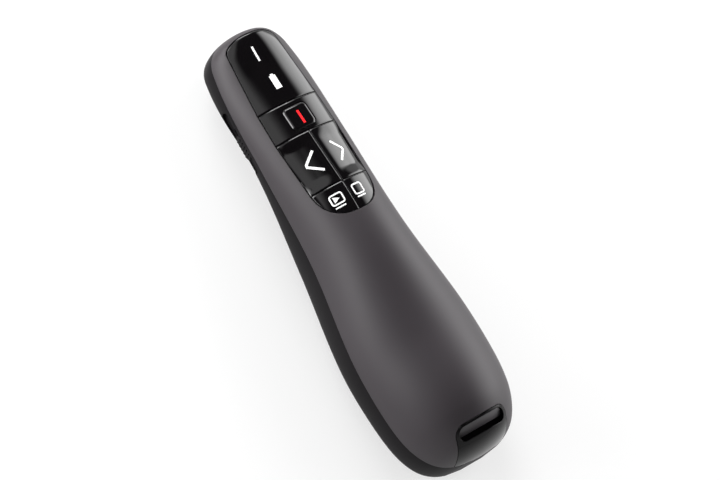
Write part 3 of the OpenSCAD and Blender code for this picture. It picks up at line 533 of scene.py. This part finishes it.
def mark_smooth(mesh, belongs):
    """Faces that lie on the piece's outer surface are smooth, and the others flat."""
    centres = np.array([face.calc_center_median() for face in mesh.faces])
    normals = np.array([face.normal for face in mesh.faces])
    for face, smooth in zip(mesh.faces, belongs(centres, normals)):
        face.smooth = bool(smooth)


def cut_fine(mesh, longest):
    """Halves the edges of the smooth faces until none is longer than this."""
    for _ in range(7):
        edges = [
            edge
            for edge in mesh.edges
            if edge.calc_length() > longest and any(face.smooth for face in edge.link_faces)
        ]
        if not edges:
            return
        bmesh.ops.subdivide_edges(mesh, edges=edges, cuts=1)
        wide = [face for face in mesh.faces if face.smooth and len(face.verts) > 3]
        bmesh.ops.triangulate(mesh, faces=wide)


def smooth_vertices(mesh):
    """The vertices of the outer surface."""
    return [v for v in mesh.verts if any(face.smooth for face in v.link_faces)]


def way_to_skin(vertex, normal):
    """Way a point may move: along the normal, but within the flat faces that it is on."""
    flats = []
    for face in vertex.link_faces:
        if face.smooth or face.calc_area() < SMALLEST_FACE:
            continue
        if all(face.normal.dot(other) < SAME_PLANE for other in flats):
            flats.append(face.normal.copy())
    normal = Vector(normal)
    if not flats:
        return normal
    if len(flats) == 1:
        return (normal - flats[0] * normal.dot(flats[0])).normalized()
    along_edge = flats[0].cross(flats[1])
    return along_edge.normalized() if along_edge.length > SHORTEST_EDGE_WAY else Vector((0, 0, 0))


def lay_on_skin(mesh):
    """Moves the outer points from the CAD facets onto the true skin."""
    vertices = [v for v in smooth_vertices(mesh) if abs(v.co.y) < NOSE_Y - NOSE_FACE]
    normals = skin_normal(*points_of(vertices).T)
    ways = np.array([way_to_skin(v, n) for v, n in zip(vertices, normals)])
    start = points_of(vertices)
    points = start.copy()
    for _ in range(3):
        here = skin_level(*points.T)
        ahead = skin_level(*(points + PROBE * ways).T)
        slope = (ahead - here) / PROBE
        step = np.where(np.abs(slope) > 0.01, (1 - here) / np.where(slope == 0, 1, slope), 0)
        points = points + ways * np.clip(step, -LONGEST_STEP, LONGEST_STEP)[:, None]
    moved = np.linalg.norm(points - start, axis=1)
    points = np.where((moved < LONGEST_MOVE)[:, None], points, start)
    for vertex, point in zip(vertices, points):
        vertex.co = Vector((point[0], point[1], max(point[2], 0.0)))


def on_skin(centres, normals):
    """Which faces lie on the body's skin, apart from the flat that it stands on."""
    level = skin_level(*centres.T)
    outward = (skin_normal(*centres.T) * normals).sum(axis=1)
    return (level > SKIN_LEVEL) & (outward > SKIN_FACING) & (centres[:, 2] > SKIN_LOWEST)


def finished(mesh, name, node, normals_at, material, body):
    """Makes the object, sets the smooth faces' normals and ties it to its body."""
    points = points_of(mesh.verts)
    data = bpy.data.meshes.new(name)
    bmesh.ops.scale(mesh, vec=(MM, MM, MM), verts=mesh.verts)
    mesh.to_mesh(data)
    mesh.free()
    corners = np.empty(len(data.loops), int)
    data.loops.foreach_get("vertex_index", corners)
    smooth = np.empty(len(data.polygons), bool)
    data.polygons.foreach_get("use_smooth", smooth)
    counts = np.empty(len(data.polygons), int)
    data.polygons.foreach_get("loop_total", counts)
    normals = normals_at(points)[corners]
    normals[~np.repeat(smooth, counts)] = 0
    data.normals_split_custom_set(normals.tolist())
    data.materials.append(material)
    piece = bpy.data.objects.new(name, data)
    bpy.context.collection.objects.link(piece)
    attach(piece, body)
    if node:
        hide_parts(node)
    return piece


def fine_shell(node, body, slot, longest=0.9, material=None):
    """A shell moulding with its outer skin cut finer and laid on the true form."""
    mesh = cad_copy(node)
    mark_smooth(mesh, on_skin)
    cut_fine(mesh, longest)
    lay_on_skin(mesh)
    material = material or MATERIALS[slot]
    finished(mesh, node + "_skin", node, lambda p: skin_normal(*p.T), material, body)


def height_normal(top, points):
    """Normal of a height function at the points."""
    e = 0.01
    x, y = points[:, 0], points[:, 1]
    across = (top(x + e, y) - top(x - e, y)) / (2 * e)
    length = (top(x, y + e) - top(x, y - e)) / (2 * e)
    normal = np.stack([-across, -length, np.ones_like(across)], axis=1)
    return normal / np.linalg.norm(normal, axis=1, keepdims=True)


def fine_panel_piece(node, body, top, longest=0.45):
    """A panel piece with its top cut finer and laid on its height function."""

    def on_top(centres, normals):
        near = centres[:, 2] > top(centres[:, 0], centres[:, 1]) - TOP_REACH
        return near & (normals[:, 2] > TOP_FACING)

    mesh = cad_copy(node)
    mark_smooth(mesh, on_top)
    cut_fine(mesh, longest)
    for vertex in smooth_vertices(mesh):
        vertex.co.z = float(top(vertex.co.x, vertex.co.y))
    finished(
        mesh,
        node + "_skin",
        node,
        lambda p: height_normal(top, p),
        MATERIALS["gloss_black"],
        body,
    )


fine_shell("top_case", "case", "soft_touch")
# The lower shell and the battery door take the darker colour, painted shade for the body's lower
# side.
fine_shell("bottom_case", "case", "shell_black")
fine_shell("battery_door", "door", "shell_black")
fine_shell("receiver_cap", "receiver", "gloss_black", 0.5, CAP_BLACK)

WINDOW_TOP = panel_top(WINDOW_REAR + SEAM / 2, PANEL_FRONT)
BAND_TOP = panel_top(BAND_REAR + SEAM / 2, WINDOW_REAR - SEAM / 2)
PAGE_TOPS = {
    side: panel_top(PAGE_REAR + SEAM / 2, BAND_REAR - SEAM / 2, side, sloped=True)
    for side in (-1, 1)
}
SLIDE_TOPS = {
    side: panel_top(PANEL_REAR, PAGE_REAR - SEAM / 2, side, tilt=0.05, bend=0.005)
    for side in (-1, 1)
}

fine_panel_piece("status_window", "case", WINDOW_TOP)
fine_panel_piece("key_surround", "case", BAND_TOP)
fine_panel_piece("laser_button", "laser_key", laser_key_top, 0.25)
fine_panel_piece("previous_button", "previous_key", PAGE_TOPS[-1])
fine_panel_piece("next_button", "next_key", PAGE_TOPS[1])
fine_panel_piece("slideshow_button", "slideshow_key", SLIDE_TOPS[-1])
fine_panel_piece("blank_screen_button", "blank_screen_key", SLIDE_TOPS[1])

# ---- Finger slot -------------------------------------------------------------

SLOT_Y, SLOT_HALF_L, SLOT_HALF_W = TAIL_Y + 6.6, 6.25, 1.55
SCOOP_REAR = SLOT_Y - 0.25
SCOOP_TOP, SCOOP_SLOPE, SCOOP_FLOOR, SCOOP_TIP = 0.35, 0.75, 3.9, 0.05
SCOOP_COLUMNS, SCOOP_ROWS, SCOOP_FACING = 32, 6, 0.4


def finger_scoop():
    """Sloping face in the front half of the cap's slot, which a fingertip slides down; its pale grey
    is painted light on that face.
    """

    def top(x, y):
        return crown_z(x, y) - SCOOP_TOP - SCOOP_SLOPE * (SLOT_Y + SLOT_HALF_W - y)

    columns, rows = SCOOP_COLUMNS, SCOOP_ROWS
    grid = []
    for i in range(columns + 1):
        x = -SLOT_HALF_L + 2 * SLOT_HALF_L * i / columns
        beyond = max(abs(x) - (SLOT_HALF_L - SLOT_HALF_W), 0)
        reach = max(math.sqrt(max(SLOT_HALF_W**2 - beyond**2, 0)), SCOOP_TIP)
        front = SLOT_Y + reach
        rear = max(SCOOP_REAR, SLOT_Y - reach)
        grid.append([(x, front + (rear - front) * j / rows) for j in range(rows + 1)])
    mesh = bmesh.new()
    floor = float(crown_z(0.0, SLOT_Y)) - SCOOP_FLOOR
    upper = [[mesh.verts.new((x, y, float(top(x, y)))) for x, y in column] for column in grid]
    lower = [[mesh.verts.new((x, y, floor)) for x, y in column] for column in grid]
    for i in range(columns):
        for j in range(rows):
            mesh.faces.new((upper[i][j], upper[i][j + 1], upper[i + 1][j + 1], upper[i + 1][j]))
            mesh.faces.new((lower[i][j], lower[i + 1][j], lower[i + 1][j + 1], lower[i][j + 1]))
        for j in (0, rows):
            mesh.faces.new((upper[i][j], upper[i + 1][j], lower[i + 1][j], lower[i][j]))
    for i in (0, columns):
        for j in range(rows):
            mesh.faces.new((upper[i][j], lower[i][j], lower[i][j + 1], upper[i][j + 1]))
    bmesh.ops.recalc_face_normals(mesh, faces=mesh.faces)
    for face in mesh.faces:
        face.smooth = face.normal.z > SCOOP_FACING
    finished(
        mesh,
        "finger_scoop",
        None,
        lambda p: height_normal(top, p),
        SCOOP_PAINTED_LIGHT,
        "receiver",
    )


finger_scoop()

# ---- Marks -----------------------------------------------------------------

INK_T = 0.02
INK_JOIN = 0.001
LONGEST_INK_EDGE = 0.35
INK_FACING = 0.5


def turned(x, y):
    """The way a quarter turn to the left."""
    return np.array([-y, x])


def stroke(points, width, closed=False):
    """Quads along a line of points, mitred at its corners."""
    points = np.array(points, float)
    count = len(points)
    left, right = [], []
    for i in range(count):
        before = points[i] - points[i - 1] if closed or i else points[1] - points[0]
        after = points[(i + 1) % count] - points[i] if closed or i < count - 1 else before
        a = turned(*(before / np.linalg.norm(before)))
        b = turned(*(after / np.linalg.norm(after)))
        side = (a + b) / (1 + a @ b) * width / 2
        left.append(points[i] + side)
        right.append(points[i] - side)
    last = count if closed else count - 1
    return [[left[i], left[(i + 1) % count], right[(i + 1) % count], right[i]] for i in range(last)]


def rounded_box(x, y, half_w, half_l, corner, steps=5):
    """Points round a box with rounded corners."""
    points = []
    for quarter in range(4):
        for k in range(steps + 1):
            a = math.pi / 2 * (quarter + k / steps)
            m = math.pi / 2 * (quarter + 0.5)
            cx = math.copysign(half_w - corner, math.cos(m))
            cy = math.copysign(half_l - corner, math.sin(m))
            points.append((x + cx + corner * math.cos(a), y + cy + corner * math.sin(a)))
    return points


def mark(name, polygons, top, body, material):
    """A thin printed mark that follows the surface under it."""
    mesh = bmesh.new()
    for polygon in polygons:
        mesh.faces.new([mesh.verts.new((p[0], p[1], 0)) for p in polygon])
    bmesh.ops.remove_doubles(mesh, verts=mesh.verts, dist=INK_JOIN)
    bmesh.ops.recalc_face_normals(mesh, faces=mesh.faces)
    bmesh.ops.triangulate(mesh, faces=mesh.faces)
    for _ in range(4):
        long_edges = [edge for edge in mesh.edges if edge.calc_length() > LONGEST_INK_EDGE]
        if not long_edges:
            break
        bmesh.ops.subdivide_edges(mesh, edges=long_edges, cuts=1)
        bmesh.ops.triangulate(mesh, faces=mesh.faces)
    for face in mesh.faces:
        if face.normal.z < 0:
            face.normal_flip()
    upper = list(mesh.faces)
    lower = bmesh.ops.extrude_face_region(mesh, geom=upper)
    raised = [item for item in lower["geom"] if isinstance(item, bmesh.types.BMVert)]
    low = set(mesh.verts) - set(raised)
    for vertex in raised:
        vertex.co.z = float(top(vertex.co.x, vertex.co.y)) + INK_T
    for vertex in low:
        vertex.co.z = float(top(vertex.co.x, vertex.co.y)) - INK_T
    bmesh.ops.recalc_face_normals(mesh, faces=mesh.faces)
    for face in mesh.faces:
        face.smooth = face.normal.z > INK_FACING
    finished(mesh, name, None, lambda p: height_normal(top, p), material, body)


def icon_box(centre, half_w, half_l, corner=0.5, width=0.36):
    """Outline of a small screen."""
    return stroke(rounded_box(*centre, half_w, half_l, corner), width, closed=True)


POWER_MARK = stroke([(-0.95, 51.9), (-0.95, 48.0)], 0.5)
mark("power_mark", POWER_MARK, WINDOW_TOP, "case", WHITE_INK_PAINTED_GLOW)

BATTERY_X, BATTERY_W, BATTERY_REAR, BATTERY_FRONT = -0.3, 0.8, 40.0, 43.6
BATTERY_NUB = 0.4
BATTERY_MARK = [
    [
        (BATTERY_X - BATTERY_W, BATTERY_REAR),
        (BATTERY_X + BATTERY_W, BATTERY_REAR),
        (BATTERY_X + BATTERY_W, BATTERY_FRONT),
        (BATTERY_X + BATTERY_NUB, BATTERY_FRONT),
        (BATTERY_X + BATTERY_NUB, BATTERY_FRONT + BATTERY_NUB),
        (BATTERY_X - BATTERY_NUB, BATTERY_FRONT + BATTERY_NUB),
        (BATTERY_X - BATTERY_NUB, BATTERY_FRONT),
        (BATTERY_X - BATTERY_W, BATTERY_FRONT),
    ]
]
mark("battery_mark", BATTERY_MARK, WINDOW_TOP, "case", WHITE_INK_PAINTED_GLOW)

LASER_MARK = stroke([(0.1, 33.2), (0.1, 29.7)], 0.6)
mark("laser_mark", LASER_MARK, laser_key_top, "laser_key", RED_INK_PAINTED_GLOW)

PREVIOUS_MARK = stroke([(-2.15, 22.9), (-5.0, 20.5), (-5.1, 19.9), (-2.15, 17.5)], 0.6)
mark("previous_mark", PREVIOUS_MARK, PAGE_TOPS[-1], "previous_key", WHITE_INK_PAINTED_GLOW)
NEXT_MARK = stroke([(3.1, 23.2), (5.2, 20.7), (5.2, 20.2), (3.05, 17.8)], 0.56)
mark("next_mark", NEXT_MARK, PAGE_TOPS[1], "next_key", WHITE_INK_PAINTED_GLOW)

SLIDE_ICON, BLANK_ICON = (-3.55, 9.95), (2.3, 10.05)
SLIDE_MARK = icon_box(SLIDE_ICON, 1.5, 1.2)
SLIDE_MARK.append([(-4.4, 9.2), (-2.9, 9.95), (-4.4, 10.7)])
SLIDE_MARK += stroke([(-4.9, 7.95), (-2.35, 7.95)], 0.34)
mark("slideshow_mark", SLIDE_MARK, SLIDE_TOPS[-1], "slideshow_key", WHITE_INK_PAINTED_GLOW)
BLANK_MARK = icon_box(BLANK_ICON, 1.25, 1.25)
BLANK_MARK += stroke([(1.1, 8.15), (3.4, 8.15)], 0.34)
mark("blank_screen_mark", BLANK_MARK, SLIDE_TOPS[1], "blank_screen_key", WHITE_INK_PAINTED_GLOW)

# ---- Stage -------------------------------------------------------------------

FLOOR_SIZE = 3.0
FLOOR_GREY, FLOOR_PALE, FLOOR_GLOW = 0.3, 0.98, 0.6
WORLD_LIGHT = 0.3
CEILING_FROM, CEILING_FULL, CEILING_GREY = 0.3, 0.55, 0.015


def stage_seen(tree):
    """1 for the rays that show the stage, which are camera, mirror and see-through rays."""
    path = tree.nodes.new("ShaderNodeLightPath").outputs
    seen = path["Is Camera Ray"]
    for ray in ("Is Glossy Ray", "Is Transmission Ray"):
        either = tree.nodes.new("ShaderNodeMath")
        either.operation = "MAXIMUM"
        tree.links.new(seen, either.inputs[0])
        tree.links.new(path[ray], either.inputs[1])
        seen = either.outputs[0]
    return seen


def floor_material():
    """Grey to the light on the object; pale and partly plain white where it is seen."""
    n = Nodes("floor")
    grey, pale = (FLOOR_GREY,) * 3, (FLOOR_PALE,) * 3
    n.principled(Base_Color=(*grey, 1), Roughness=0.9, Specular_IOR_Level=0.0)
    matt = n.add("BsdfDiffuse", Color=(*pale, 1))
    white = n.add("Emission", Color=(1, 1, 1, 1), Strength=1.0)
    shown = n.add("MixShader", Fac=FLOOR_GLOW, n1=matt.outputs[0], n2=white.outputs[0])
    seen = stage_seen(n.tree)
    mix = n.add("MixShader", Fac=seen, n1=n.shader.outputs[0], n2=shown.outputs[0])
    n.tree.links.new(mix.outputs[0], n.tree.nodes["Material Output"].inputs["Surface"])
    return n.material


def add_floor():
    """Level floor that the object stands on."""
    corners = [(-1, -1), (1, -1), (1, 1), (-1, 1)]
    mesh = bpy.data.meshes.new("floor")
    mesh.from_pydata([(FLOOR_SIZE * x, FLOOR_SIZE * y, 0) for x, y in corners], [], [(0, 1, 2, 3)])
    floor = bpy.data.objects.new("floor", mesh)
    bpy.context.collection.objects.link(floor)
    mesh.materials.append(floor_material())


def add_world():
    """White backdrop round the horizon and a dark ceiling; dim and even for the light."""
    world = bpy.data.worlds.new("studio")
    bpy.context.scene.world = world
    world.use_nodes = True
    tree = world.node_tree
    way = tree.nodes.new("ShaderNodeSeparateXYZ")
    tree.links.new(tree.nodes.new("ShaderNodeTexCoord").outputs["Generated"], way.inputs[0])
    ceiling = tree.nodes.new("ShaderNodeValToRGB")
    tree.links.new(way.outputs["Z"], ceiling.inputs["Fac"])
    ceiling.color_ramp.interpolation = "EASE"
    backdrop, dark = ceiling.color_ramp.elements
    backdrop.position = CEILING_FROM
    backdrop.color = (1, 1, 1, 1)
    dark.position = CEILING_FULL
    dark.color = (CEILING_GREY, CEILING_GREY, CEILING_GREY, 1)
    shown = tree.nodes.new("ShaderNodeBackground")
    tree.links.new(ceiling.outputs["Color"], shown.inputs["Color"])
    even = tree.nodes["Background"]
    even.inputs["Color"].default_value = (1, 1, 1, 1)
    even.inputs["Strength"].default_value = WORLD_LIGHT
    mix = tree.nodes.new("ShaderNodeMixShader")
    tree.links.new(stage_seen(tree), mix.inputs["Fac"])
    tree.links.new(even.outputs[0], mix.inputs[1])
    tree.links.new(shown.outputs[0], mix.inputs[2])
    tree.links.new(mix.outputs[0], tree.nodes["World Output"].inputs["Surface"])


def direction(azimuth, elevation):
    """Unit vector; azimuth turns from +Y towards +X."""
    a, e = math.radians(azimuth), math.radians(elevation)
    return Vector((math.sin(a) * math.cos(e), math.cos(a) * math.cos(e), math.sin(e)))


def soft_box(name, place, towards, turn, width, height, radiance, fades):
    """A rectangular lamp whose light fades towards its edges.

    It lies at `place`, faces away from `towards` and is turned about that line.
    The four fades are shares of its size, at the low and the high end of its
    parametric X and then of its Y.
    """
    data = bpy.data.lights.new(name, "AREA")
    data.shape = "RECTANGLE"
    data.size, data.size_y = width, height
    data.energy = radiance * math.pi * width * height
    data.use_nodes = True
    tree = data.node_tree
    spot = tree.nodes.new("ShaderNodeNewGeometry").outputs["Parametric"]
    split = tree.nodes.new("ShaderNodeSeparateXYZ")
    tree.links.new(spot, split.inputs[0])
    strength = None
    edges = [("X", 0, fades[0]), ("X", 1, 1 - fades[1]), ("Y", 0, fades[2]), ("Y", 1, 1 - fades[3])]
    for axis, dark_at, full_at in edges:
        rise = tree.nodes.new("ShaderNodeMapRange")
        rise.interpolation_type = "SMOOTHSTEP"
        rise.inputs["From Min"].default_value = dark_at
        rise.inputs["From Max"].default_value = full_at
        tree.links.new(split.outputs[axis], rise.inputs["Value"])
        product = tree.nodes.new("ShaderNodeMath")
        product.operation = "MULTIPLY"
        product.inputs[0].default_value = 1.0
        if strength:
            tree.links.new(strength, product.inputs[0])
        tree.links.new(rise.outputs["Result"], product.inputs[1])
        strength = product.outputs[0]
    tree.links.new(strength, tree.nodes["Emission"].inputs["Strength"])
    light = bpy.data.objects.new(name, data)
    light.location = place
    spin = Matrix.Rotation(math.radians(turn), 3, "Z")
    facing = towards.to_track_quat("Z", "Y").to_matrix() @ spin
    light.rotation_euler = facing.to_euler()
    bpy.context.collection.objects.link(light)


LAMP_DISTANCE = 0.7


def box_at(name, azimuth, elevation, width, height, radiance, fades):
    """A level soft box that faces the object from an azimuth and an elevation."""
    towards = direction(azimuth, elevation)
    soft_box(name, towards * LAMP_DISTANCE, towards, 0, width, height, radiance, fades)


add_floor()
add_world()
EVEN_FADES = (0.3, 0.3, 0.3, 0.3)
SIDE_FADES = (0.3, 0.1, 0.3, 0.3)
EDGE_FADES = (0.1, 0.1, 0.03, 0.3)
box_at("left_box", -54, 13, width=0.75, height=0.58, radiance=9.6, fades=EVEN_FADES)
box_at("right_box", 97, 21, width=0.95, height=0.8, radiance=4.6, fades=SIDE_FADES)
box_at("front_box", 11, 26, width=0.52, height=0.43, radiance=9.5, fades=EVEN_FADES)
# A flat reflector over the front left; its near edge draws the line on the panel.
soft_box(
    "reflector",
    place=Vector((-0.27, 0.51, 0.6)),
    towards=Vector((0, 0, 1)),
    turn=27.9,
    width=1.0,
    height=0.6,
    radiance=1.05,
    fades=EDGE_FADES,
)
bpy.context.scene.view_settings.view_transform = "Standard"
